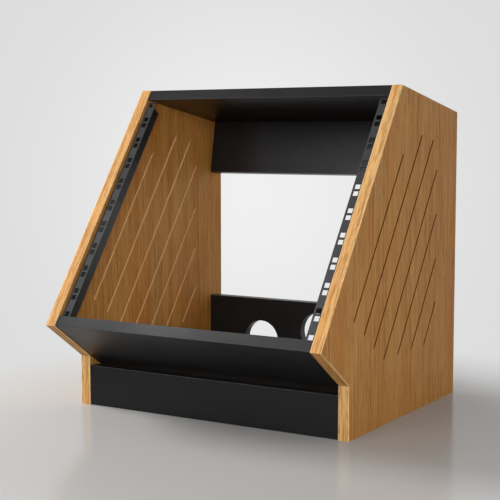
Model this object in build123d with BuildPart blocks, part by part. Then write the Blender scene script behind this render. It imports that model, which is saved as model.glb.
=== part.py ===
from build123d import *
from math import cos, radians, sin, tan
import os

# Slant-fronted desktop case for 19-inch equipment, in millimetres, +Z up and the front towards -Y.
# The origin is on the floor, in the middle of the width and of the depth.

os.makedirs("parts", exist_ok=True)

# ---------------------------------------------------------------- driving dimensions

# Rack standard EIA-310
rack_units = 10
unit_height = 44.45
hole_heights = (6.35, 38.1)  # centres of the two holes, above the foot of their unit
square_hole = 9.5  # takes a cage nut
strip_opening = 450.0  # clear width between the two strips
strip_face_width = 17.5  # of a strip's front face, out to the side panel
hole_inset = 7.55  # of the column of holes from the strip's free edge

# Case
board = 19.0  # thickness of every board
case_depth = 520.0  # from the nose to the rear edge
nose_height = 151.0  # of the foremost corner above the floor
front_slope = 55.0  # degrees from the floor
chin_length = 113.5  # of the edge under the nose, square to the slope
top_fall = 9.5  # degrees by which the top falls towards the rear
reveal = 2.0  # cross boards stand this far behind the side panels' edges
rear_reveal = 1.0
lipping = 2.0  # oak on the side panels' edges
lipping_round = 1.5
band = 1.0  # black edging on the cross boards
band_round = 0.5

# Slots in the side panels, all parallel to the front slope
slot_count = 7
slot_width = 4.0
slot_chamfer = 0.5
first_slot = 70.0  # from the slope in to the first slot
slot_pitch = 44.3
slot_chin_margin = 88.0  # least distance of the lower ends from the chin edge
slot_floor_margin = 108.0  # and from the floor
slot_rear_margin = 91.5  # least distance of the upper ends from the rear edge
slot_top_margin = 66.8  # and from the top edge
first_slot_drop = 89.0  # the first slot stops this far short of the slope's upper end

# Cross boards
chin_panel_width = 148.0
plinth_gap = 4.15  # between the plinth and the chin panel over it
upper_rail_height = 100.0
lower_rail_height = 150.5
lower_rail_setback = 21.0  # of its rear face from the rear edge
cable_hole = 74.0
cable_hole_chamfer = 1.0
side_cable_hole = (124.5, 70.0)  # out from the middle, and up from the floor
middle_cable_hole_height = 93.5

# Rack strips, bent from steel sheet
strip_sheet = 2.0
strip_recess = 7.3  # of their front face behind the slope
strip_flange = 32.0  # along the side panel
strip_end_gap = 0.75
strip_bend = 0.5  # inside radius
strip_screws = 4
strip_screw_inset = 62.0  # of the outermost screws from the strip's ends

# Fittings
dowel_diameter = 8.0
dowel_in_side = 11.0
dowel_in_board = 23.0
dowel_chamfer = 1.0
dowel_inset = 16.0  # from a board's long edges
cam_diameter = 15.0
cam_height = 13.5
cam_setback = 24.0  # of a cam's centre from the board's end
cam_sink = 0.2  # below the board's face
cam_bevel = 0.4
cam_recess_depth = 3.0
two_cam_width = 120.0  # boards at least this wide have two cams at each end
bolt_diameter = 6.0
bolt_neck = 3.6
bolt_head = 6.6
bolt_thread = 4.8
bolt_in_side = 10.5
screw_diameter = 3.5
screw_head = 7.0
screw_length = 15.0
screw_point = 4.0
cross_reach = 0.5  # length of a cross recess in a head, as a share of the head's diameter
cross_width = 0.12  # and its width
fit = 0.1  # clearance all round a dowel, cam, bolt or screw
hole_end_gap = 0.8  # clearance beyond its end

# ---------------------------------------------------------------- outline of a side panel

cos_slope, sin_slope = cos(radians(front_slope)), sin(radians(front_slope))
top_corner = radians(front_slope + top_fall)  # between the slope's line and the top's
rear_y, nose_y = case_depth / 2, -case_depth / 2
strip_start = reveal + board + strip_end_gap
strip_length = rack_units * unit_height
bay_width = strip_opening + 2 * strip_face_width  # clear width between the side panels
slope_length = strip_start + strip_length + strip_end_gap + board / sin(top_corner)


def on_side(up, inward):
    """Point (y, z) that is this far up the slope from the nose, and this far behind the slope."""
    return Vector(
        nose_y + up * cos_slope + inward * sin_slope,
        nose_height + up * sin_slope - inward * cos_slope,
    )


def slope_to_top(inward):
    """Distance up the slope at which a line this far behind it meets the case's top."""
    return slope_length + inward / tan(top_corner)


nose = on_side(0, 0)
knee = on_side(0, chin_length)
top_front = on_side(slope_length, 0)
along_top = Vector(1, 0).rotate(Axis.Z, -top_fall)
under_top = along_top.rotate(Axis.Z, -90)
top_rear = top_front + along_top * ((rear_y - top_front.X) / along_top.X)

side_edges = ("bottom", "rear", "top", "front", "chin", "foot")
side_outline = (
    Vector(knee.X, 0), Vector(rear_y, 0), top_rear, top_front, nose, knee,
)
side_starts = {"left": -bay_width / 2 - board, "right": bay_width / 2}
side_signs = {"left": -1, "right": 1}


def inset_corners(corners, insets):
    """Corners of an outline once its edge i, from corner i to the next, has moved in by insets[i]."""
    following = corners[1:] + corners[:1]
    normals = [(b - a).normalized().rotate(Axis.Z, 90) for a, b in zip(corners, following)]
    moved = []
    for i, corner in enumerate(corners):
        before, after = normals[i - 1], normals[i]
        lean = before.dot(after)
        along_before = (insets[i - 1] - lean * insets[i]) / (1 - lean**2)
        along_after = (insets[i] - lean * insets[i - 1]) / (1 - lean**2)
        moved.append(corner + before * along_before + after * along_after)
    return moved


def save(piece, label):
    """Label a finished piece and write its STEP file."""
    piece.part.label = label
    export_step(piece.part, f"parts/{label}.step")


def edge_strip(label, outer, inner, start, length, radius):
    """Strip glued to a board's edge, between its outer and inner corners, with rounded outer edges."""
    outward = (outer[1] - outer[0]).rotate(Axis.Z, -90)
    with BuildPart() as strip:
        with BuildSketch(Plane.YZ.offset(start)):
            with BuildLine():
                Polyline(outer[0], outer[1], inner[1], inner[0], close=True)
            make_face()
        extrude(amount=length)
        outer_face = strip.faces().sort_by(Axis((0, 0, 0), (0, outward.X, outward.Y)))[-1]
        fillet(outer_face.edges().sort_by(SortBy.LENGTH)[-2:], radius=radius)
    save(strip, label)


# ---------------------------------------------------------------- sections of the cross boards
# Each section is given by its four corners. The first two lie on the hidden face, which takes the cams.

top_panel_front = on_side(slope_to_top(reveal), reveal)
top_panel_rear = top_rear - along_top * (rear_reveal / along_top.X)
slanted_board = on_side(slope_to_top(reveal) - board / sin(top_corner), reveal)
rail_rear_top = top_panel_rear + under_top * board
lower_rail_rear = rear_y - lower_rail_setback
plinth_rear = knee.X + reveal + board
plinth_inward = (plinth_rear - on_side(reveal, 0).X) / sin_slope
plinth_height = on_side(reveal, plinth_inward).Y - plinth_gap

sections = {
    "top_panel": (slanted_board, rail_rear_top, top_panel_rear, top_panel_front),
    "chin_panel": (
        on_side(reveal + board, reveal + chin_panel_width),
        on_side(reveal + board, reveal),
        on_side(reveal, reveal),
        on_side(reveal, reveal + chin_panel_width),
    ),
    "plinth": (
        Vector(plinth_rear, 0),
        Vector(plinth_rear, plinth_height),
        Vector(plinth_rear - board, plinth_height),
        Vector(plinth_rear - board, 0),
    ),
    "upper_rear_rail": (
        rail_rear_top + under_top * upper_rail_height,
        rail_rear_top,
        rail_rear_top - along_top * board,
        rail_rear_top - along_top * board + under_top * upper_rail_height,
    ),
    "lower_rear_rail": (
        Vector(lower_rail_rear, 0),
        Vector(lower_rail_rear, lower_rail_height),
        Vector(lower_rail_rear - board, lower_rail_height),
        Vector(lower_rail_rear - board, 0),
    ),
}

# Names of the edge bands, by the section's edge that carries each
bands = {
    "top_panel": {1: "rear", 3: "front"},
    "chin_panel": {1: "front", 3: "inner"},
    "plinth": {1: "top"},
    "upper_rear_rail": {3: "lower"},
    "lower_rear_rail": {1: "top"},
}

# ---------------------------------------------------------------- places of the fittings


def along_middle(section, distances):
    """Points at these distances along the line halfway between a section's two faces."""
    start = (section[0] + section[3]) / 2
    direction = ((section[1] + section[2]) / 2 - start).normalized()
    return [start + direction * distance for distance in distances]


def section_width(section):
    """Distance from one long edge of a board to the other, halfway between its faces."""
    return ((section[1] + section[2]) / 2 - (section[0] + section[3]) / 2).length


def dowel_points(section):
    """Points (y, z) of the dowels at each end of a cross board."""
    return along_middle(section, (dowel_inset, section_width(section) - dowel_inset))


def cam_points(section):
    """Points (y, z) of the cam bolts at each end of a cross board."""
    width = section_width(section)
    count = 2 if width >= two_cam_width else 1
    return along_middle(section, [width * (i + 1) / (count + 1) for i in range(count)])


def end_planes(points, signs=(-1, 1)):
    """Planes on the inner faces of the side panels, their normals pointing into those panels."""
    return [
        Plane(origin=(sign * bay_width / 2, point.X, point.Y), z_dir=(sign, 0, 0))
        for sign in signs
        for point in points
    ]


def wall_planes(points, sign):
    """Planes on the inner face of one side panel, their normals pointing into the bay."""
    return [
        Plane(origin=(sign * bay_width / 2, point.X, point.Y), z_dir=(-sign, 0, 0)) for point in points
    ]


def cam_planes(section):
    """Planes on a cross board's hidden face over its cams, with X towards the near end of the board."""
    outward = (section[1] - section[0]).normalized().rotate(Axis.Z, -90)
    planes = []
    for sign in (-1, 1):
        for point in cam_points(section):
            mouth = point + outward * (board / 2)
            planes.append(
                Plane(
                    origin=(sign * (bay_width / 2 - cam_setback), mouth.X, mouth.Y),
                    x_dir=(sign, 0, 0),
                    z_dir=(0, outward.X, outward.Y),
                )
            )
    return planes


strip_screw_span = strip_length - 2 * strip_screw_inset
strip_screw_points = [
    on_side(
        strip_start + strip_screw_inset + i * strip_screw_span / (strip_screws - 1),
        strip_recess + strip_flange / 2 + strip_sheet,
    )
    for i in range(strip_screws)
]

# ---------------------------------------------------------------- side panels


def slot_ends(index):
    """Distances up the slope of a slot's lower and upper ends, and its distance behind the slope."""
    inward = first_slot + index * slot_pitch
    above_floor = (slot_floor_margin - nose_height + inward * cos_slope) / sin_slope
    before_rear = (case_depth - slot_rear_margin - inward * sin_slope) / cos_slope
    below_top = slope_to_top(inward) - slot_top_margin / sin(top_corner)
    upper = min(before_rear, below_top)
    if index == 0:
        upper = min(upper, slope_length - first_slot_drop)
    return max(slot_chin_margin, above_floor), upper, inward


side_insets = [0 if edge == "bottom" else lipping for edge in side_edges]
side_core = inset_corners(side_outline, side_insets)
all_dowel_points = [point for section in sections.values() for point in dowel_points(section)]
all_cam_points = [point for section in sections.values() for point in cam_points(section)]

for side, start in side_starts.items():
    with BuildPart() as side_panel:
        with BuildSketch(Plane.YZ.offset(start)):
            with BuildLine():
                Polyline(*side_core, close=True)
            make_face()
            for index in range(slot_count):
                lower, upper, inward = slot_ends(index)
                with Locations(on_side((lower + upper) / 2, inward)):
                    SlotOverall(upper - lower, slot_width, rotation=front_slope, mode=Mode.SUBTRACT)
        extrude(amount=board)
        slot_mouths = [
            wire.edges() for face in side_panel.faces().filter_by(Axis.X) for wire in face.inner_wires()
        ]
        chamfer([edge for mouth in slot_mouths for edge in mouth], length=slot_chamfer)
        with Locations(*wall_planes(all_dowel_points, side_signs[side])):
            Hole(dowel_diameter / 2 + fit, depth=dowel_in_side + hole_end_gap)
        with Locations(*wall_planes(all_cam_points, side_signs[side])):
            Hole(bolt_thread / 2 + fit, depth=bolt_in_side + hole_end_gap)
        with Locations(*wall_planes(strip_screw_points, side_signs[side])):
            Hole(screw_diameter / 2 + fit, depth=screw_length - strip_sheet + hole_end_gap)
    save(side_panel, f"side_panel_{side}")

    for i, edge in enumerate(side_edges):
        if edge != "bottom":
            after = (i + 1) % len(side_edges)
            edge_strip(
                f"{edge}_lipping_{side}",
                (side_outline[i], side_outline[after]),
                (side_core[i], side_core[after]),
                start,
                board,
                lipping_round,
            )

# ---------------------------------------------------------------- cross boards

cable_holes = [
    (-side_cable_hole[0], side_cable_hole[1]),
    (0, middle_cable_hole_height),
    side_cable_hole,
]

for name, section in sections.items():
    core = inset_corners(section, [band if i in bands[name] else 0 for i in range(len(section))])
    with BuildPart() as cross_board:
        with BuildSketch(Plane.YZ.offset(-bay_width / 2)):
            with BuildLine():
                Polyline(*core, close=True)
            make_face()
        extrude(amount=bay_width)
        if name == "lower_rear_rail":
            with Locations(
                *[Plane(origin=(x, lower_rail_rear, z), z_dir=(0, 1, 0)) for x, z in cable_holes]
            ):
                Hole(cable_hole / 2, depth=board)
            chamfer(cross_board.edges().filter_by(GeomType.CIRCLE), length=cable_hole_chamfer)
        with Locations(*end_planes(dowel_points(section))):
            Hole(dowel_diameter / 2 + fit, depth=dowel_in_board + hole_end_gap)
        with Locations(*end_planes(cam_points(section))):
            Hole(bolt_head / 2 + fit, depth=cam_setback)
        with Locations(*cam_planes(section)):
            Hole(cam_diameter / 2 + fit, depth=cam_height + cam_sink)
    save(cross_board, name)

    for i, edge in bands[name].items():
        after = (i + 1) % len(section)
        edge_strip(
            f"{name}_{edge}_band",
            (section[i], section[after]),
            (core[i], core[after]),
            -bay_width / 2,
            bay_width,
            band_round,
        )

# ---------------------------------------------------------------- rack strips

strip_foot = on_side(strip_start, 0)
strip_face = on_side(strip_start, strip_recess)
strip_section = Plane(
    origin=(0, strip_foot.X, strip_foot.Y), x_dir=(1, 0, 0), z_dir=(0, cos_slope, sin_slope)
)
strip_front = Plane(
    origin=(0, strip_face.X, strip_face.Y), x_dir=(1, 0, 0), z_dir=(0, -sin_slope, cos_slope)
)
strip_rear = strip_recess + strip_sheet + strip_flange

for side, sign in side_signs.items():
    wall, flange_face = sign * bay_width / 2, sign * (bay_width / 2 - strip_sheet)
    free_edge = sign * strip_opening / 2
    with BuildPart() as rack_strip:
        with BuildSketch(strip_section) as angle:
            with BuildLine():
                Polyline(
                    (free_edge, strip_recess),
                    (wall, strip_recess),
                    (wall, strip_rear),
                    (flange_face, strip_rear),
                    (flange_face, strip_recess + strip_sheet),
                    (free_edge, strip_recess + strip_sheet),
                    close=True,
                )
            make_face()
            outer_bend = angle.vertices().sort_by_distance((wall, strip_recess))[0]
            fillet(outer_bend, radius=strip_bend + strip_sheet)
            inner_bend = angle.vertices().sort_by_distance((flange_face, strip_recess + strip_sheet))[0]
            fillet(inner_bend, radius=strip_bend)
        extrude(amount=strip_length)
        with BuildSketch(strip_front):
            for unit in range(rack_units):
                for height in hole_heights:
                    with Locations((free_edge + sign * hole_inset, unit * unit_height + height)):
                        Rectangle(square_hole, square_hole)
        extrude(amount=-strip_sheet, mode=Mode.SUBTRACT)
        with Locations(
            *[plane.offset(strip_sheet) for plane in wall_planes(strip_screw_points, sign)]
        ):
            CounterSinkHole(screw_diameter / 2 + fit, screw_head / 2 + fit, depth=strip_sheet)
    save(rack_strip, f"rack_strip_{side}")

# ---------------------------------------------------------------- fittings
# Each is made once, its axis along Z and going down from the face that it enters, then placed in groups.

with BuildPart() as wood_screw:
    with BuildSketch(Plane.XZ):
        with BuildLine():
            Polyline(
                (0, 0),
                (screw_head / 2, 0),
                (screw_diameter / 2, -(screw_head - screw_diameter) / 2),
                (screw_diameter / 2, screw_point - screw_length),
                (0, -screw_length),
                close=True,
            )
        make_face()
    revolve(axis=Axis.Z)
    with BuildSketch(Plane.XY):
        Rectangle(screw_head * cross_reach, screw_head * cross_width)
        Rectangle(screw_head * cross_width, screw_head * cross_reach)
    extrude(amount=-(screw_head - screw_diameter) / 2, mode=Mode.SUBTRACT)

with BuildPart() as dowel:
    with BuildSketch(Plane.XY.offset(-dowel_in_board)):
        Circle(dowel_diameter / 2)
    extrude(amount=dowel_in_board + dowel_in_side)
    chamfer(dowel.edges().filter_by(GeomType.CIRCLE), length=dowel_chamfer)

with BuildPart() as cam_bolt:
    with BuildSketch(Plane.XZ):
        with BuildLine():
            Polyline(
                (0, bolt_in_side),
                (bolt_thread / 2, bolt_in_side - bolt_thread / 4),
                (bolt_thread / 2, 0),
                (bolt_diameter / 2, 0),
                (bolt_diameter / 2, bolt_head - cam_setback),
                (bolt_neck / 2, bolt_head - cam_setback),
                (bolt_neck / 2, bolt_head / 2 - cam_setback),
                (bolt_head / 2, bolt_head / 4 - cam_setback),
                (bolt_head / 2, -cam_setback),
                (0, -cam_setback),
                close=True,
            )
        make_face()
    revolve(axis=Axis.Z)

with BuildPart() as cam_lock:
    with BuildSketch(Plane.XY.offset(-cam_sink)):
        Circle(cam_diameter / 2)
    extrude(amount=-(cam_height - cam_sink))
    chamfer(cam_lock.edges().filter_by(GeomType.CIRCLE).sort_by(Axis.Z)[-1], length=cam_bevel)
    with BuildSketch(Plane.XY.offset(-cam_sink)):
        Rectangle(cam_diameter * cross_reach, cam_diameter * cross_width)
        Rectangle(cam_diameter * cross_width, cam_diameter * cross_reach)
    extrude(amount=-cam_recess_depth, mode=Mode.SUBTRACT)
    with BuildSketch(Plane.YZ):
        with Locations((0, -board / 2)):
            Circle(bolt_head / 2 + fit)
    extrude(amount=cam_diameter, mode=Mode.SUBTRACT)

for name, section in sections.items():
    with BuildPart() as dowels:
        with Locations(*end_planes(dowel_points(section))):
            add(dowel.part)
    save(dowels, f"{name}_dowels")

    with BuildPart() as cam_bolts:
        with Locations(*end_planes(cam_points(section))):
            add(cam_bolt.part)
    save(cam_bolts, f"{name}_cam_bolts")

    with BuildPart() as cam_locks:
        with Locations(*cam_planes(section)):
            add(cam_lock.part)
    save(cam_locks, f"{name}_cam_locks")

for side, sign in side_signs.items():
    with BuildPart() as strip_screw_set:
        with Locations(
            *[plane.offset(strip_sheet) for plane in wall_planes(strip_screw_points, sign)]
        ):
            add(wood_screw.part)
    save(strip_screw_set, f"rack_strip_screws_{side}")
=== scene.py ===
"""Finishes, fittings, studio and camera of a slanted desktop rack case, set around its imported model."""

import logging
import math
from dataclasses import dataclass
from enum import Enum
from typing import Optional, Sequence, Union

import bmesh
import bpy
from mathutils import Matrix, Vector

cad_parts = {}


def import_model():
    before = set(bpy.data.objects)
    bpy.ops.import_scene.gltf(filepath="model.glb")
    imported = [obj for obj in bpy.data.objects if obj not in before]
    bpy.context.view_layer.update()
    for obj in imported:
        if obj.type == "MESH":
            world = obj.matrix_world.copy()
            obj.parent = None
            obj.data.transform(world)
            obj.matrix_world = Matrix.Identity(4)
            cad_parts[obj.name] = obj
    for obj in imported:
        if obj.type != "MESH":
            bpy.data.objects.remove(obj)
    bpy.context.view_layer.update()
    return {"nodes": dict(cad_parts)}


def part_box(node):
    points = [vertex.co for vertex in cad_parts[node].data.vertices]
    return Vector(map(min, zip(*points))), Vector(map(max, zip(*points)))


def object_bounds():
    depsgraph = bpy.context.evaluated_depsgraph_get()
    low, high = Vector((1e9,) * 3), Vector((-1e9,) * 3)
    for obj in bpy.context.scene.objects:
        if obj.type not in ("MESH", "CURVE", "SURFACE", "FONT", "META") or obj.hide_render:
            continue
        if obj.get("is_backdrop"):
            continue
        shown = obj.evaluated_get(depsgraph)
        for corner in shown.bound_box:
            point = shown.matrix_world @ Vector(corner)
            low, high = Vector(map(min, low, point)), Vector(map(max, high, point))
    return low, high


Colour = tuple[float, float, float, float]
Span = tuple[float, float]
Scale = tuple[float, float, float]
Socket = bpy.types.NodeSocket
Feed = Union[Socket, float, Sequence[float]]
Inputs = dict[Union[str, int], Feed]

MM = 0.001
NOISE_MIDDLE = 0.5
log = logging.getLogger("rack_case")


# ---------------------------------------------------------------- named options


class Side(Enum):
    """The two sides of the case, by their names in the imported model."""

    LEFT = "left"
    RIGHT = "right"


class PanelEdge(Enum):
    """Edges of a side panel that carry a lipping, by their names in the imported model."""

    FRONT = "front"
    CHIN = "chin"
    FOOT = "foot"
    TOP = "top"
    REAR = "rear"

    @property
    def leans(self) -> int:
        """1 where the edge leans to the rear as it rises, -1 where it leans to the front."""
        return -1 if self in (PanelEdge.CHIN, PanelEdge.TOP) else 1


class Board(Enum):
    """The five boards between the side panels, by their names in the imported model."""

    TOP_PANEL = "top_panel"
    CHIN_PANEL = "chin_panel"
    PLINTH = "plinth"
    UPPER_REAR_RAIL = "upper_rear_rail"
    LOWER_REAR_RAIL = "lower_rear_rail"


# ---------------------------------------------------------------- wiring of node trees


class Wiring:
    """Adds and joins the nodes of one shader tree."""

    def __init__(self, tree: bpy.types.NodeTree) -> None:
        """Work on this tree.

        Args:
            tree: The node tree of a material, a world or a node group.
        """
        self.tree = tree

    @classmethod
    def fresh(cls, owner: Union[bpy.types.Material, bpy.types.World]) -> "Wiring":
        """Empty the tree of a material or a world, to wire it anew.

        Args:
            owner: The material or the world.

        Returns:
            The wiring of its tree.
        """
        owner.use_nodes = True
        owner.node_tree.nodes.clear()
        return cls(owner.node_tree)

    def feed(self, socket: Socket, value: Feed) -> None:
        """Join a socket to an output, or give it a value of its own.

        Args:
            socket: The input to fill.
            value: Another node's output, or a plain value.
        """
        if isinstance(value, bpy.types.NodeSocket):
            self.tree.links.new(value, socket)
        else:
            socket.default_value = value

    def add(self, kind: str, inputs: Optional[Inputs] = None, **settings: object) -> bpy.types.Node:
        """Add a node.

        Args:
            kind: The node's type, without the word ShaderNode.
            inputs: What goes into its sockets, by their name or number.
            settings: The node's own properties.

        Returns:
            The new node.
        """
        node = self.tree.nodes.new(f"ShaderNode{kind}")
        for name, value in settings.items():
            setattr(node, name, value)
        for socket, value in (inputs or {}).items():
            self.feed(node.inputs[socket], value)
        return node

    def maths(self, operation: str, first: Feed, second: Feed = 0.0, third: Feed = 0.0) -> Socket:
        """Result of one sum on numbers.

        Args:
            operation: Blender's name for the sum, such as MULTIPLY.
            first: First number.
            second: Second number.
            third: Third number, for the sums that take one.

        Returns:
            The output that holds the result.
        """
        return self.add("Math", {0: first, 1: second, 2: third}, operation=operation).outputs[0]

    def vector_maths(self, operation: str, first: Feed, second: Feed, result: str = "Vector") -> Socket:
        """Result of one sum on vectors.

        Args:
            operation: Blender's name for the sum, such as DOT_PRODUCT.
            first: First vector.
            second: Second vector.
            result: Which output to take, Vector or Value.

        Returns:
            The output that holds the result.
        """
        return self.add("VectorMath", {0: first, 1: second}, operation=operation).outputs[result]

    def remap(self, value: Feed, span: Sequence[float], to: Sequence[Feed] = (0.0, 1.0)) -> Socket:
        """Smoothly carry a value from one span to another, held at both ends.

        Args:
            value: The value to carry.
            span: Its lowest and highest value.
            to: What these become.

        Returns:
            The output that holds the result.
        """
        inputs = {"Value": value, "From Min": span[0], "From Max": span[1], "To Min": to[0], "To Max": to[1]}
        return self.add("MapRange", inputs, interpolation_type="SMOOTHSTEP").outputs["Result"]

    def stretch(self, vector: Feed, scale: Scale) -> Socket:
        """Scale a place vector.

        Args:
            vector: The place.
            scale: Features per metre along each axis.

        Returns:
            The output that holds the new vector.
        """
        return self.vector_maths("MULTIPLY", vector, scale)

    def lean(self, vector: Feed, angle: float) -> Socket:
        """Turn a place vector about X.

        Args:
            vector: The place.
            angle: The angle in radians.

        Returns:
            The output that holds the new vector.
        """
        return self.add("Mapping", {"Vector": vector, "Rotation": (angle, 0.0, 0.0)}).outputs[0]

    def facing(self, axis: str) -> Socket:
        """How far the surface faces along an axis.

        Args:
            axis: X, Y or Z.

        Returns:
            The output that holds the share, from -1 to 1.
        """
        return self.add("SeparateXYZ", {0: self.add("NewGeometry").outputs["Normal"]}).outputs[axis]

    def noise(self, vector: Feed, detail: float = 2.0, roughness: float = 0.5, scale: float = 1.0) -> Socket:
        """Cloudy noise from 0 to 1 at a place.

        Args:
            vector: The place, already scaled.
            detail: Number of finer layers.
            roughness: Strength of the finer layers.
            scale: Features for each unit of the place.

        Returns:
            The output that holds the noise.
        """
        inputs = {"Vector": vector, "Scale": scale, "Detail": detail, "Roughness": roughness}
        return self.add("TexNoise", inputs).outputs[0]

    def blend(self, share: Feed, first: Feed, second: Feed) -> Socket:
        """Mix two colours.

        Args:
            share: Share of the second colour.
            first: First colour.
            second: Second colour.

        Returns:
            The output that holds the mixed colour.
        """
        return self.add("Mix", {0: share, 6: first, 7: second}, data_type="RGBA").outputs[2]


# ---------------------------------------------------------------- effects that the finishes share


class Effect:
    """A shader node group that several finishes use, built once.

    Scales are in features per metre along each axis, and a span is where a mask starts and where it is full.
    """

    title = ""
    inputs: dict[str, str] = {}
    outputs: dict[str, str] = {}

    @classmethod
    def group(cls) -> bpy.types.NodeTree:
        """The node group, made the first time it is asked for.

        Returns:
            The group's node tree.
        """
        tree = bpy.data.node_groups.get(cls.title)
        if tree is None:
            tree = bpy.data.node_groups.new(cls.title, "ShaderNodeTree")
            for direction, sockets in (("INPUT", cls.inputs), ("OUTPUT", cls.outputs)):
                for name, kind in sockets.items():
                    tree.interface.new_socket(name, in_out=direction, socket_type=f"NodeSocket{kind}")
            wiring = Wiring(tree)
            results = cls.wire(wiring, tree.nodes.new("NodeGroupInput").outputs)
            taken = tree.nodes.new("NodeGroupOutput").inputs
            for name, result in results.items():
                wiring.feed(taken[name], result)
        return tree

    @classmethod
    def place(cls, wiring: Wiring, **values: Feed) -> bpy.types.NodeOutputs:
        """Put the group into a material.

        Args:
            wiring: The material's wiring.
            values: What goes into the group's inputs, by name.

        Returns:
            The group's outputs.
        """
        node = wiring.tree.nodes.new("ShaderNodeGroup")
        node.node_tree = cls.group()
        for name, value in values.items():
            wiring.feed(node.inputs[name], value)
        return node.outputs

    @classmethod
    def wire(cls, wiring: Wiring, given: bpy.types.NodeOutputs) -> dict[str, Socket]:
        """Join up the group's inside.

        Args:
            wiring: The group's wiring.
            given: The outputs that hold the group's inputs.

        Returns:
            What goes to each of the group's outputs.
        """
        raise NotImplementedError


class WoodGrain(Effect):
    """Growth rings, fibres and open pores of a ring-porous wood. The grain runs along the vector's Z."""

    title = "Wood grain"
    inputs = {
        "Vector": "Vector", "Pale": "Color", "Warm": "Color", "Deep": "Color",
        "Figure": "Float", "Fibre": "Float", "Pore": "Float",
    }
    outputs = {"Color": "Color", "Rough": "Float", "Height": "Float"}

    board_scale: Scale = (38.0, 44.0, 3.2)
    band_scale: Scale = (150.0, 150.0, 4.0)
    fibre_scale: Scale = (420.0, 420.0, 11.0)
    pore_scale: Scale = (1100.0, 1100.0, 34.0)
    ring_scale: Scale = (1.0, 1.0, 0.09)
    ring_wave: Inputs = {
        "Scale": 30.0, "Distortion": 9.0, "Detail": 3.0, "Detail Scale": 8.0, "Detail Roughness": 0.6,
    }
    warm_span: Span = (0.36, 0.64)
    ring_span: Span = (0.35, 1.0)
    pore_span: Span = (0.60, 0.72)
    band_tone: float = 1.1
    fibre_tone: float = 0.9
    streak_contrast: float = 1.75
    streak_level: float = 0.35
    fibre_height: float = 0.6
    pore_roughness: float = 0.6
    band_roughness: float = 0.5

    @classmethod
    def wire(cls, wiring: Wiring, given: bpy.types.NodeOutputs) -> dict[str, Socket]:
        """Join up the grain.

        Args:
            wiring: The group's wiring.
            given: The group's inputs.

        Returns:
            Colour, roughness and height over the surface.
        """
        place = given["Vector"]
        boards = wiring.noise(wiring.stretch(place, cls.board_scale), detail=4.0, roughness=0.6)
        bands = wiring.noise(wiring.stretch(place, cls.band_scale), detail=4.0, roughness=0.65)
        fibres = wiring.noise(wiring.stretch(place, cls.fibre_scale), detail=4.0, roughness=0.7)
        rings = wiring.add(
            "TexWave", {"Vector": wiring.stretch(place, cls.ring_scale), **cls.ring_wave},
            wave_type="RINGS", rings_direction="Z", wave_profile="SIN",
        ).outputs["Fac"]
        pores = wiring.remap(wiring.noise(wiring.stretch(place, cls.pore_scale), detail=1.0), cls.pore_span)
        ground = wiring.blend(wiring.remap(boards, cls.warm_span), given["Pale"], given["Warm"])
        fine = wiring.maths("MULTIPLY", wiring.maths("SUBTRACT", fibres, NOISE_MIDDLE), cls.fibre_tone)
        broad = wiring.maths("SUBTRACT", bands, NOISE_MIDDLE)
        streak = wiring.maths("MULTIPLY_ADD", broad, cls.band_tone, fine)
        contrast = wiring.maths("MULTIPLY_ADD", streak, cls.streak_contrast, cls.streak_level)
        shade = wiring.maths("MULTIPLY", contrast, given["Fibre"])
        figure = wiring.maths("MULTIPLY", wiring.remap(rings, cls.ring_span), given["Figure"])
        tone = wiring.maths("MULTIPLY_ADD", pores, given["Pore"], wiring.maths("ADD", shade, figure))
        colour = wiring.blend(wiring.remap(tone, (0.0, 1.0)), ground, given["Deep"])
        height = wiring.maths("SUBTRACT", wiring.maths("MULTIPLY", fibres, cls.fibre_height), pores)
        band_rough = wiring.maths("MULTIPLY", bands, cls.band_roughness)
        rough = wiring.maths("MULTIPLY_ADD", pores, cls.pore_roughness, band_rough)
        return {"Color": colour, "Rough": rough, "Height": height}


class EdgeWearAndHighlight(Effect):
    """Masks of what rubbing wears, sharp edges and the corners between a side face and an edge face, which on
    the oak lippings also carry a painted highlight.
    """

    title = "Edge wear and highlight"
    inputs = {"Vector": "Vector", "Reach": "Float", "Patchiness": "Float"}
    outputs = {"Mask": "Float", "Arris": "Float"}

    bevel_samples: int = 6
    edge_span: Span = (0.995, 0.80)
    patch_scale: Scale = (90.0, 90.0, 90.0)
    patch_span: Span = (0.35, 0.6)
    off_edge_span: Span = (0.08, 0.5)
    off_side_span: Span = (0.999, 0.9)

    @classmethod
    def wire(cls, wiring: Wiring, given: bpy.types.NodeOutputs) -> dict[str, Socket]:
        """Join up the masks.

        Args:
            wiring: The group's wiring.
            given: The group's inputs.

        Returns:
            The mask of sharp edges, and that of the corners.
        """
        rounded = wiring.add("Bevel", {"Radius": given["Reach"]}, samples=cls.bevel_samples).outputs[0]
        true = wiring.add("NewGeometry").outputs["Normal"]
        edge = wiring.remap(wiring.vector_maths("DOT_PRODUCT", rounded, true, "Value"), cls.edge_span)
        clouds = wiring.noise(wiring.stretch(given["Vector"], cls.patch_scale), detail=3.0)
        lost = wiring.maths("MULTIPLY", given["Patchiness"], wiring.remap(clouds, cls.patch_span))
        kept = wiring.maths("SUBTRACT", 1.0, lost)
        sideways = wiring.maths("ABSOLUTE", wiring.facing("X"))
        off_edge = wiring.remap(sideways, cls.off_edge_span)
        arris = wiring.maths("MULTIPLY", off_edge, wiring.remap(sideways, cls.off_side_span))
        return {
            "Mask": wiring.maths("MULTIPLY", edge, kept),
            "Arris": wiring.maths("MULTIPLY", arris, kept),
        }


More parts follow.
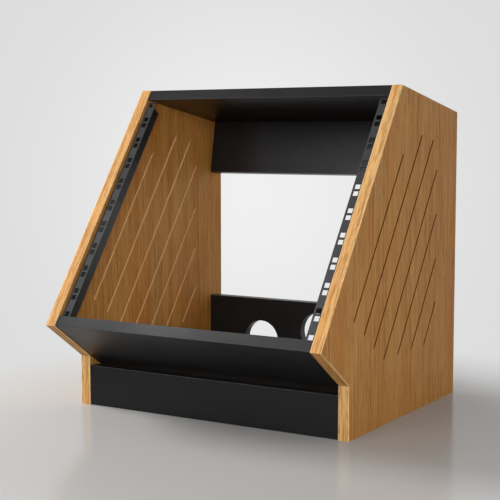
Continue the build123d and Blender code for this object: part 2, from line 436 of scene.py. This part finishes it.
class FineTexture(Effect):
    """Fine pebbling of a film, laminate or powder coat."""

    title = "Fine texture"
    inputs = {"Vector": "Vector", "Pitch": "Float"}
    outputs = {"Height": "Float", "Speck": "Float"}

    speck_scale: float = 0.37
    speck_span: Span = (0.66, 0.74)

    @classmethod
    def wire(cls, wiring: Wiring, given: bpy.types.NodeOutputs) -> dict[str, Socket]:
        """Join up the pebbling.

        Args:
            wiring: The group's wiring.
            given: The group's inputs.

        Returns:
            Height over the surface, and a mask of small specks.
        """
        density = wiring.maths("DIVIDE", 1.0, given["Pitch"])
        scaling = wiring.add("VectorMath", {0: given["Vector"], "Scale": density}, operation="SCALE")
        scaled = scaling.outputs["Vector"]
        grains = wiring.noise(scaled, detail=2.0, roughness=0.6)
        specks = wiring.remap(wiring.noise(scaled, detail=0.0, scale=cls.speck_scale), cls.speck_span)
        return {"Height": grains, "Speck": specks}


class Handling(Effect):
    """Clouds of slight wiping marks, and settled dust on what faces up."""

    title = "Handling"
    inputs = {"Vector": "Vector", "Dustiness": "Float"}
    outputs = {"Smear": "Float", "Dust": "Float"}

    smear_scale: Scale = (9.0, 9.0, 14.0)
    dust_scale: Scale = (420.0, 420.0, 420.0)
    dust_span: Span = (0.48, 0.75)
    upward_span: Span = (0.35, 1.0)

    @classmethod
    def wire(cls, wiring: Wiring, given: bpy.types.NodeOutputs) -> dict[str, Socket]:
        """Join up the marks.

        Args:
            wiring: The group's wiring.
            given: The group's inputs.

        Returns:
            Masks of the smears and of the dust.
        """
        place = given["Vector"]
        smear = wiring.noise(wiring.stretch(place, cls.smear_scale), detail=4.0, roughness=0.55)
        settled = wiring.remap(wiring.noise(wiring.stretch(place, cls.dust_scale), detail=3.0), cls.dust_span)
        dust = wiring.maths("MULTIPLY", wiring.remap(wiring.facing("Z"), cls.upward_span), settled)
        return {"Smear": smear, "Dust": wiring.maths("MULTIPLY", dust, given["Dustiness"])}


# ---------------------------------------------------------------- finishes


@dataclass(frozen=True)
class Finish:
    """What every finish has: a name, a range of roughness, and how its gloss and relief show."""

    name: str
    roughness: Span
    specular: float = 0.32
    patchiness: float = 0.5
    smear_share: float = 0.5
    gloss_span: Span = (0.3, 0.7)
    relief: float = 0.5

    def start(self) -> tuple[bpy.types.Material, Wiring, bpy.types.Node, Socket]:
        """Make an empty material.

        Returns:
            The material, its wiring, its shader, and the place on the object in metres.
        """
        material = bpy.data.materials.new(self.name)
        wiring = Wiring.fresh(material)
        shader = wiring.add("BsdfPrincipled", {"Specular IOR Level": self.specular})
        wiring.add("OutputMaterial", {"Surface": shader.outputs[0]})
        return material, wiring, shader, wiring.add("TexCoord").outputs["Object"]

    def cover(
        self, wiring: Wiring, shader: bpy.types.Node, colour: Socket, smear: Socket, texture: Socket,
        height: Socket, depth: float,
    ) -> None:
        """Join a surface's colour, gloss and relief to the shader.

        Args:
            wiring: The material's wiring.
            shader: The material's shader.
            colour: Colour over the surface.
            smear: Wiping marks, which share the gloss with the texture.
            texture: What else makes the gloss uneven.
            height: Height over the surface, from 0 to 1.
            depth: What a height of 1 stands for, in metres.
        """
        uneven = wiring.maths("MULTIPLY", texture, 1.0 - self.smear_share)
        gloss = wiring.maths("MULTIPLY_ADD", smear, self.smear_share, uneven)
        bump = wiring.add("Bump", {"Height": height, "Strength": self.relief, "Distance": depth})
        wiring.feed(shader.inputs["Base Color"], colour)
        wiring.feed(shader.inputs["Roughness"], wiring.remap(gloss, self.gloss_span, self.roughness))
        wiring.feed(shader.inputs["Normal"], bump.outputs[0])

    def build(self) -> bpy.types.Material:
        """Make the finish's material."""
        raise NotImplementedError


@dataclass(frozen=True)
class WoodFinish(Finish):
    """Wood under a thin satin lacquer. The grain leans from upright towards the rear by an angle.

    Cut faces, which don't look sideways, take a colour of painted light and shade. Arrises are the long
    corners of an edge strip.
    """

    specular: float = 0.16
    gloss_span: Span = (0.15, 0.75)
    lean: float = 0.0
    pale: Colour = (0.53, 0.268, 0.068, 1.0)
    warm: Colour = (0.505, 0.213, 0.042, 1.0)
    deep: Colour = (0.265, 0.095, 0.018, 1.0)
    # painted light and shade for cut faces, a colour that stands in for how lit they are
    cut_face_painted_light: Colour = (0.38, 0.12, 0.02, 1.0)
    # colour of worn edges and arrises, which on the lippings also serves as a painted highlight
    worn: Colour = (0.80, 0.56, 0.31, 1.0)
    figure: float = 0.22
    fibre: float = 0.62
    pore: float = 0.35
    edge_reach: float = 0.9 * MM
    edge_share: float = 0.12
    # share of the worn colour on arrises: partly wear, partly painted highlight
    arris_wear_and_highlight_share: float = 0.0
    # share of the painted light and shade on cut faces; 0 leaves it out
    cut_face_painted_light_share: float = 0.0
    cut_span: Span = (0.9, 0.4)
    grain_depth: float = 0.05 * MM

    def build(self) -> bpy.types.Material:
        """Make the wood.

        Returns:
            The finished material.
        """
        material, wiring, shader, place = self.start()
        grain = WoodGrain.place(
            wiring, Vector=wiring.lean(place, self.lean), Pale=self.pale, Warm=self.warm, Deep=self.deep,
            Figure=self.figure, Fibre=self.fibre, Pore=self.pore,
        )
        wear = EdgeWearAndHighlight.place(wiring, Vector=place, Reach=self.edge_reach, Patchiness=self.patchiness)
        smear = Handling.place(wiring, Vector=place, Dustiness=0.0)["Smear"]
        colour = grain["Color"]
        # Worn colour on sharp edges and arrises: partly wear, partly painted highlight.
        for mask, share in ((wear["Mask"], self.edge_share), (wear["Arris"], self.arris_wear_and_highlight_share)):
            colour = wiring.blend(wiring.maths("MULTIPLY", mask, share), colour, self.worn)
        # Painted light and shade: cut faces, such as slot walls, take a colour that stands in for how lit
        # they are.
        if self.cut_face_painted_light_share:
            sideways = wiring.maths("ABSOLUTE", wiring.facing("X"))
            cut = wiring.remap(sideways, self.cut_span, (0.0, self.cut_face_painted_light_share))
            colour = wiring.blend(cut, colour, self.cut_face_painted_light)
        self.cover(wiring, shader, colour, smear, grain["Rough"], grain["Height"], self.grain_depth)
        return material


@dataclass(frozen=True)
class FilmFinish(Finish):
    """A dark film, laminate, powder coat or plating with a fine texture and rubbed edges."""

    patchiness: float = 0.7
    smear_share: float = 0.7
    relief: float = 0.6
    base: Colour = (0.0065, 0.0065, 0.0067, 1.0)
    worn: Colour = (0.07, 0.07, 0.072, 1.0)
    speck: Colour = (0.02, 0.02, 0.021, 1.0)
    pitch: float = 0.5 * MM
    depth: float = 0.012 * MM
    edge_reach: float = 0.5 * MM
    edge_share: float = 0.5
    metallic: float = 0.0
    dustiness: float = 0.02
    dust: Colour = (0.35, 0.34, 0.32, 1.0)

    def build(self) -> bpy.types.Material:
        """Make the film.

        Returns:
            The finished material.
        """
        material, wiring, shader, place = self.start()
        texture = FineTexture.place(wiring, Vector=place, Pitch=self.pitch)
        wear = EdgeWearAndHighlight.place(wiring, Vector=place, Reach=self.edge_reach, Patchiness=self.patchiness)
        marks = Handling.place(wiring, Vector=place, Dustiness=self.dustiness)
        colour = wiring.blend(texture["Speck"], self.base, self.speck)
        colour = wiring.blend(wiring.maths("MULTIPLY", wear["Mask"], self.edge_share), colour, self.worn)
        colour = wiring.blend(marks["Dust"], colour, self.dust)
        self.cover(wiring, shader, colour, marks["Smear"], texture["Height"], texture["Height"], self.depth)
        shader.inputs["Metallic"].default_value = self.metallic
        return material


# ---------------------------------------------------------------- sub-assemblies


@dataclass
class SubAssembly:
    """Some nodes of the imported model, which are dressed together."""

    nodes: dict[str, bpy.types.Object]

    def dress(self, name: str, material: bpy.types.Material) -> None:
        """Give a node its material and report it.

        Args:
            name: The node's name.
            material: What it is made of.
        """
        materials = self.nodes[name].data.materials
        materials.clear()
        materials.append(material)
        low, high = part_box(name)
        size = " x ".join(f"{side / MM:.1f}" for side in high - low)
        log.info("%s: %s mm, %s", name, size, material.name)


@dataclass
class OakSides(SubAssembly):
    """The two side panels and the lippings on their edges.

    The walls of the slots take painted light in the left panel and painted shade in the right panel, as a
    pale and a dark colour.
    """

    roughness: Span = (0.46, 0.62)
    # Painted light and shade on the slot walls: a pale colour for the left panel, a dark one for the right.
    cut_face_painted_light_share: float = 0.85
    left_cut_face_painted_light: Colour = (0.66, 0.40, 0.19, 1.0)
    right_cut_face_painted_light: Colour = (0.13, 0.036, 0.006, 1.0)

    def lean(self, edge: PanelEdge) -> float:
        """Angle of a lipping's grain, which follows its length, from upright towards the rear.

        Args:
            edge: The panel's edge.

        Returns:
            The angle in radians.
        """
        low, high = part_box(f"{edge.value}_lipping_{Side.LEFT.value}")
        return edge.leans * math.atan2(high.y - low.y, high.z - low.z)

    def build(self) -> None:
        """Dress the panels and their lippings."""
        for side, cut_face_painted_light in ((Side.LEFT, self.left_cut_face_painted_light), (Side.RIGHT, self.right_cut_face_painted_light)):
            name = f"oak veneer {side.value}"
            veneer = WoodFinish(name, self.roughness, cut_face_painted_light=cut_face_painted_light, cut_face_painted_light_share=self.cut_face_painted_light_share)
            self.dress(f"side_panel_{side.value}", veneer.build())
        for edge in PanelEdge:
            # Lippings: their lightened edges and arrises are partly wear, partly painted highlight.
            lipping = WoodFinish(
                f"oak lipping {edge.value}", self.roughness, lean=self.lean(edge),
                pale=(0.58, 0.362, 0.150, 1.0), warm=(0.56, 0.285, 0.085, 1.0),
                deep=(0.32, 0.145, 0.044, 1.0), figure=0.42, pore=0.5, edge_share=0.3, arris_wear_and_highlight_share=0.75,
            ).build()
            for side in Side:
                self.dress(f"{edge.value}_lipping_{side.value}", lipping)


@dataclass
class CrossBoards(SubAssembly):
    """The five black boards and the bands on their edges."""

    roughness: Span = (0.30, 0.42)

    def build(self) -> None:
        """Dress the boards and their bands."""
        film = FilmFinish("black board", self.roughness).build()
        edging = FilmFinish(
            "black edging", self.roughness, base=(0.009, 0.009, 0.0093, 1.0), pitch=0.35 * MM,
            worn=(0.12, 0.12, 0.122, 1.0), edge_reach=1.6 * MM, edge_share=0.9,
        ).build()
        for board in Board:
            self.dress(board.value, film)
            for name in sorted(self.nodes):
                if name.startswith(board.value) and name.endswith("_band"):
                    self.dress(name, edging)


@dataclass
class RackStrips(SubAssembly):
    """The two perforated steel strips and their screws."""

    roughness: Span = (0.30, 0.44)

    def build(self) -> None:
        """Dress the strips and the screws."""
        coat = FilmFinish(
            "powder coat", self.roughness, base=(0.029, 0.030, 0.031, 1.0), speck=(0.044, 0.045, 0.047, 1.0),
            worn=(0.12, 0.12, 0.122, 1.0), pitch=0.22 * MM, depth=0.02 * MM, edge_reach=0.3 * MM,
        ).build()
        screw = FilmFinish(
            "blackened steel", (0.32, 0.48), base=(0.02, 0.02, 0.021, 1.0), worn=(0.3, 0.3, 0.31, 1.0),
            metallic=0.6, pitch=0.15 * MM,
        ).build()
        for side in Side:
            self.dress(f"rack_strip_{side.value}", coat)
            self.dress(f"rack_strip_screws_{side.value}", screw)


@dataclass
class KnockDownFittings(SubAssembly):
    """The dowels, cam bolts and cam locks that hold the boards to the side panels."""

    def build(self) -> None:
        """Dress the fittings of every board."""
        beech = WoodFinish(
            "beech", (0.55, 0.7), lean=math.pi / 2, pale=(0.66, 0.46, 0.28, 1.0),
            warm=(0.62, 0.40, 0.22, 1.0), deep=(0.42, 0.24, 0.12, 1.0), figure=0.1, fibre=0.4, specular=0.2,
        ).build()
        zinc = FilmFinish(
            "zinc plate", (0.24, 0.38), base=(0.55, 0.56, 0.58, 1.0), speck=(0.42, 0.43, 0.45, 1.0),
            worn=(0.75, 0.75, 0.77, 1.0), metallic=1.0, pitch=0.4 * MM, dustiness=0.0,
        ).build()
        cast = FilmFinish(
            "black cast cam", (0.36, 0.5), base=(0.02, 0.02, 0.02, 1.0), worn=(0.25, 0.25, 0.26, 1.0),
            metallic=0.5, pitch=0.3 * MM,
        ).build()
        for board in Board:
            self.dress(f"{board.value}_dowels", beech)
            self.dress(f"{board.value}_cam_bolts", zinc)
            self.dress(f"{board.value}_cam_locks", cast)


# ---------------------------------------------------------------- studio


@dataclass(frozen=True)
class Softbox:
    """A soft light that faces the middle of the case.

    turn is in degrees from the camera's line of sight, to the left, and height in degrees above the floor.
    distance and size are in metres, and power is in watts. Gloss shows the light only where it is mirrored.
    """

    name: str
    turn: float
    height: float
    distance: float
    size: Span
    power: float
    mirrored: bool = False

    def hang(self, toward: Vector) -> None:
        """Hang the light.

        Args:
            toward: Direction from the case to the light.
        """
        lamp = bpy.data.lights.new(self.name, "AREA")
        lamp.shape, lamp.energy = "RECTANGLE", self.power
        lamp.size, lamp.size_y = self.size
        softbox = bpy.data.objects.new(self.name, lamp)
        softbox.visible_glossy = self.mirrored
        low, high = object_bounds()
        softbox.location = (low + high) / 2 + toward * self.distance
        softbox.rotation_euler = toward.to_track_quat("Z", "Y").to_euler()
        bpy.context.scene.collection.objects.link(softbox)


@dataclass
class Studio:
    """Floor, surroundings, soft lights and camera.

    Lengths are in metres, apart from the lens, which is in millimetres. Turns and heights are in degrees, as
    for a softbox. The floor is solid out to one distance from its middle and gone at another. On a globe of
    radius 1, a span of the surroundings is how far from a heading, or how high up, one tone turns into the
    next. The sheen is the share of the key light that gloss shows.
    """

    azimuth: float = -31.228
    pitch: float = -5.327
    camera_place: tuple[float, float, float] = (1.07534, -1.80139, 0.46536)
    lens: float = 87.05

    floor_radius: float = 3.0
    floor_steps: int = 96
    floor_solid: float = 0.38
    floor_gone: float = 0.88
    floor_forward: float = 0.2
    floor_colour: Colour = (0.350, 0.342, 0.330, 1.0)
    floor_roughness: Span = (0.13, 0.17)
    floor_gloss: float = 0.09
    floor_smear_scale: Scale = (3.0, 3.0, 3.0)
    floor_smear_span: Span = (0.3, 0.7)

    glow: Colour = (0.87, 0.872, 0.875, 1.0)
    glow_height: float = -2.5
    glow_span: Span = (0.0, 0.24)
    surround: Colour = (0.725, 0.727, 0.730, 1.0)
    surround_span: Span = (0.40, 0.85)
    flank: Colour = (0.92, 0.92, 0.92, 1.0)
    flank_turn: float = -80.0
    flank_height: float = 14.0
    flank_span: Span = (0.3, 1.0)
    room: Colour = (0.06, 0.06, 0.06, 1.0)
    ceiling: Colour = (0.30, 0.30, 0.30, 1.0)
    ceiling_span: Span = (0.40, 0.75)

    softboxes: tuple[Softbox, ...] = (
        Softbox("key_softbox", turn=61.0, height=20.5, distance=2.8, size=(1.1, 0.65), power=94.0),
        Softbox(
            "sheen_softbox", turn=61.0, height=20.5, distance=2.8, size=(1.1, 0.65), power=44.0,
            mirrored=True,
        ),
        Softbox(
            "side_softbox", turn=138.0, height=24.0, distance=2.7, size=(1.6, 1.2), power=28.0,
            mirrored=True,
        ),
        Softbox("front_softbox", turn=165.0, height=14.0, distance=3.0, size=(1.2, 0.9), power=46.0),
        Softbox("low_softbox", turn=-150.0, height=8.0, distance=2.4, size=(0.8, 0.5), power=9.5),
        Softbox(
            "gleam_softbox", turn=99.0, height=43.0, distance=2.57, size=(0.5, 0.5), power=8.0,
            mirrored=True,
        ),
    )

    def heading(self, turn: float, height: float) -> Vector:
        """A direction from the case.

        Args:
            turn: Degrees from the camera's line of sight, to the left.
            height: Degrees above the floor.

        Returns:
            A vector of length 1.
        """
        angle, up = math.radians(self.azimuth - turn), math.radians(height)
        return Vector((math.sin(angle) * math.cos(up), math.cos(angle) * math.cos(up), math.sin(up)))

    def build(self) -> None:
        """Make the floor, the surroundings, the light and the camera."""
        self.add_floor()
        self.add_surroundings()
        for softbox in self.softboxes:
            softbox.hang(self.heading(softbox.turn, softbox.height))
        self.add_camera()

    def add_floor(self) -> None:
        """Make a round polished floor that fades away toward its rim."""
        mesh = bpy.data.meshes.new("studio floor")
        shape = bmesh.new()
        bmesh.ops.create_circle(shape, cap_ends=True, segments=self.floor_steps, radius=self.floor_radius)
        shape.to_mesh(mesh)
        shape.free()
        floor = bpy.data.objects.new("studio_floor", mesh)
        floor.location.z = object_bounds()[0].z
        bpy.context.scene.collection.objects.link(floor)
        material = bpy.data.materials.new("polished floor")
        wiring = Wiring.fresh(material)
        place = wiring.add("TexCoord").outputs["Object"]
        middle = tuple(self.heading(180.0, 0.0) * self.floor_forward)
        reach = wiring.vector_maths("DISTANCE", place, middle, "Value")
        smear = wiring.noise(wiring.stretch(place, self.floor_smear_scale), detail=3.0)
        shader = wiring.add("BsdfPrincipled", {
            "Base Color": self.floor_colour,
            "Roughness": wiring.remap(smear, self.floor_smear_span, self.floor_roughness),
            "Specular IOR Level": self.floor_gloss,
            "Alpha": wiring.remap(reach, (self.floor_solid, self.floor_gone), (1.0, 0.0)),
        })
        wiring.add("OutputMaterial", {"Surface": shader.outputs[0]})
        mesh.materials.append(material)
        floor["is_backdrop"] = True

    def add_surroundings(self) -> None:
        """Make the surroundings: a pale backdrop for the camera, and a darker room that lights the case."""
        world = bpy.data.worlds.new("pale studio")
        wiring = Wiring.fresh(world)
        direction = wiring.add("TexCoord").outputs["Generated"]
        height = wiring.add("SeparateXYZ", {0: direction}).outputs["Z"]
        behind = tuple(self.heading(0.0, self.glow_height))
        flank = tuple(self.heading(self.flank_turn, self.flank_height))
        away = wiring.vector_maths("DISTANCE", direction, behind, "Value")
        aside = wiring.vector_maths("DISTANCE", direction, flank, "Value")
        backdrop = wiring.blend(wiring.remap(away, self.glow_span), self.glow, self.surround)
        walls = wiring.blend(wiring.remap(aside, self.flank_span), self.flank, self.room)
        ahead = wiring.blend(wiring.remap(height, self.ceiling_span), walls, self.ceiling)
        lit = wiring.blend(wiring.remap(away, self.surround_span), backdrop, ahead)
        colour = wiring.blend(wiring.add("LightPath").outputs["Is Camera Ray"], lit, backdrop)
        light = wiring.add("Background", {"Color": colour})
        wiring.add("OutputWorld", {"Surface": light.outputs[0]})
        bpy.context.scene.world = world

    def add_camera(self) -> None:
        """Stand the camera before the case's right front corner."""
        lens = bpy.data.cameras.new("studio camera")
        lens.lens = self.lens
        camera = bpy.data.objects.new("studio_camera", lens)
        camera.location = self.camera_place
        camera.rotation_euler = (math.radians(90.0 + self.pitch), 0.0, math.radians(-self.azimuth))
        bpy.context.scene.collection.objects.link(camera)
        bpy.context.scene.camera = camera
        bpy.context.scene.view_settings.view_transform = "Standard"


def main() -> None:
    """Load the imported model, dress it, and set it in the studio."""
    logging.basicConfig(level=logging.INFO, format="%(message)s")
    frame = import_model()
    nodes = frame["nodes"]
    for sub_assembly in (OakSides(nodes), CrossBoards(nodes), RackStrips(nodes), KnockDownFittings(nodes)):
        sub_assembly.build()
    Studio().build()


if __name__ == "__main__":
    main()
